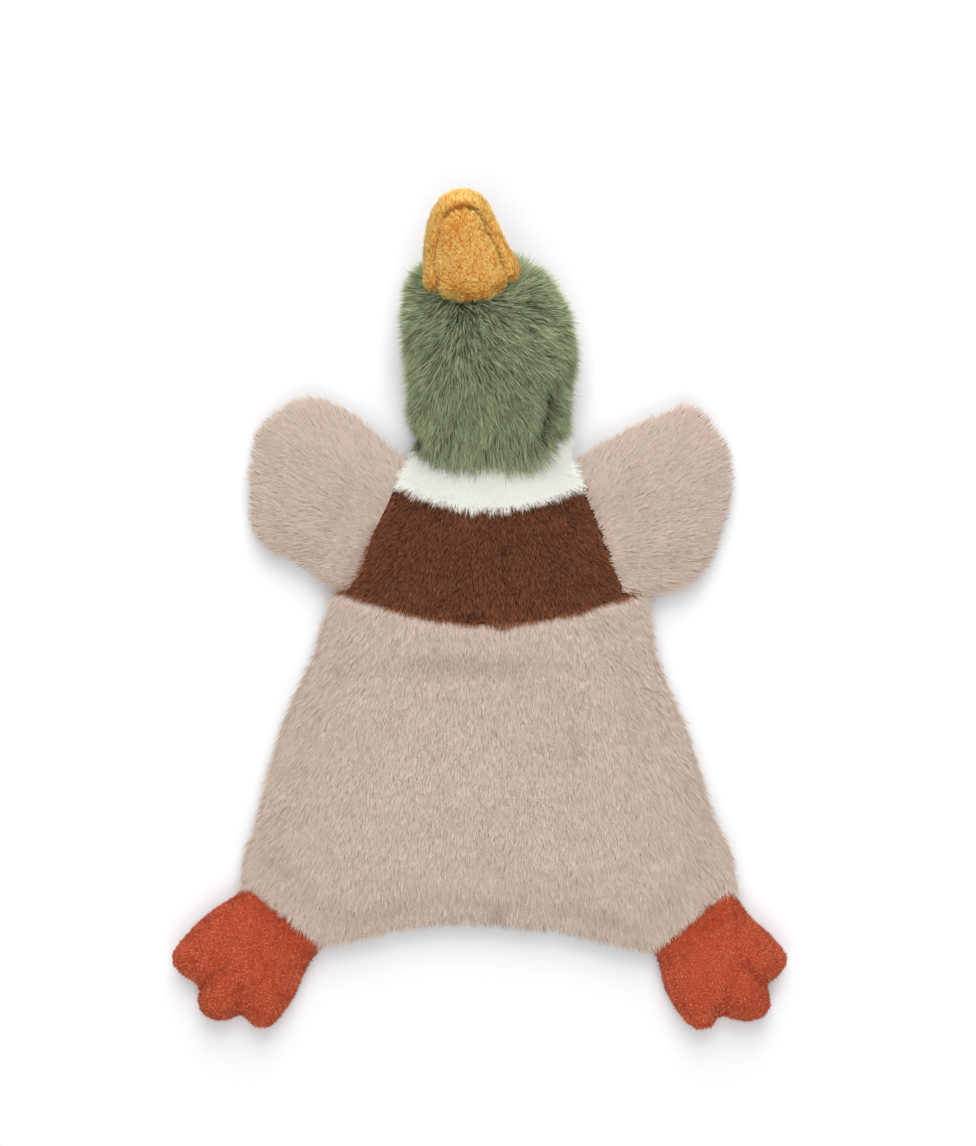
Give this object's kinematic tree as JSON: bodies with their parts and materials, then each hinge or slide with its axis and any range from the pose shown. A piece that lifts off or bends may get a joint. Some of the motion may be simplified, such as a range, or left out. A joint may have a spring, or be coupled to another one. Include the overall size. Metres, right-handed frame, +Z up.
{
  "type": "plush duck toy",
  "caption": "Flat plush duck lying on its back: furry floppy body and wings, stuffed head with squeaker, velour bill and webbed feet.",
  "frame": {"origin": "middle of the toy's footprint, on the surface that its back lies on", "axes": "+Y from the feet to the bill, +Z up out of the belly, +X to the right in a view from above"},
  "size_m": [0.2428, 0.3314, 0.0549],
  "materials": {
    "taupe_fur": "matte",
    "brown_fur": "matte",
    "white_fur": "matte",
    "green_fur": "matte",
    "rust_velour": "matte",
    "yellow_velour": "matte",
    "fibre_filling": "matte",
    "black_plastic": "gloss",
    "clear_plastic": "matte",
    "crinkle_film": "matte"
  },
  "bodies": {
    "torso": {"body_back_panel": "taupe_fur", "body_front_panel": "taupe_fur", "chest_back_panel": "brown_fur", "chest_front_panel": "brown_fur", "collar_back_panel": "white_fur", "collar_front_panel": "white_fur", "crinkle_sheet": "crinkle_film"},
    "left_wing": {"left_wing_front_panel": "taupe_fur", "left_wing_back_panel": "taupe_fur"},
    "right_wing": {"right_wing_front_panel": "taupe_fur", "right_wing_back_panel": "taupe_fur"},
    "left_foot": {"left_foot_top_panel": "rust_velour", "left_foot_sole_panel": "rust_velour", "left_foot_filling": "fibre_filling"},
    "right_foot": {"right_foot_top_panel": "rust_velour", "right_foot_sole_panel": "rust_velour", "right_foot_filling": "fibre_filling"},
    "head": {"head_left_panel": "green_fur", "head_right_panel": "green_fur", "throat_panel": "green_fur", "crown_panel": "green_fur", "head_base_panel": "green_fur", "head_filling_front": "fibre_filling", "head_filling_back": "fibre_filling", "squeaker_bulb": "clear_plastic", "squeaker_reed": "clear_plastic", "left_eye": "black_plastic", "right_eye": "black_plastic", "left_eye_washer": "clear_plastic", "right_eye_washer": "clear_plastic", "upper_bill_top_panel": "yellow_velour", "upper_bill_palate_panel": "yellow_velour", "upper_bill_filling": "fibre_filling"},
    "jaw": {"lower_bill_chin_panel": "yellow_velour", "lower_bill_inner_panel": "yellow_velour", "lower_bill_filling": "fibre_filling"}
  },
  "joints": [
    {"name": "neck_bend", "type": "hinge", "parent": "torso", "child": "head", "pos_m": [0.00402, 0.06249, 0.00715], "axis": [1, 0, 0], "range_deg": [-65, 65]},
    {"name": "left_wing_flap", "type": "hinge", "parent": "torso", "child": "left_wing", "pos_m": [-0.0436, 0.03473, 0.00715], "axis": [0.3641, 0.9314, 0], "range_deg": [-60, 75]},
    {"name": "right_wing_flap", "type": "hinge", "parent": "torso", "child": "right_wing", "pos_m": [0.05165, 0.03473, 0.00715], "axis": [0.3641, -0.9314, 0], "range_deg": [-60, 75]},
    {"name": "left_foot_flap", "type": "hinge", "parent": "torso", "child": "left_foot", "pos_m": [-0.07847, -0.12048, 0.00715], "axis": [-0.7849, 0.6197, 0], "range_deg": [-70, 70]},
    {"name": "right_foot_flap", "type": "hinge", "parent": "torso", "child": "right_foot", "pos_m": [0.08652, -0.12048, 0.00715], "axis": [-0.7849, -0.6197, 0], "range_deg": [-70, 70]},
    {"name": "bill_open", "type": "hinge", "parent": "head", "child": "jaw", "pos_m": [-0.00078, 0.12169, 0.04418], "axis": [0.9917, 0.1288, 0], "range_deg": [0, 25]}
  ]
}
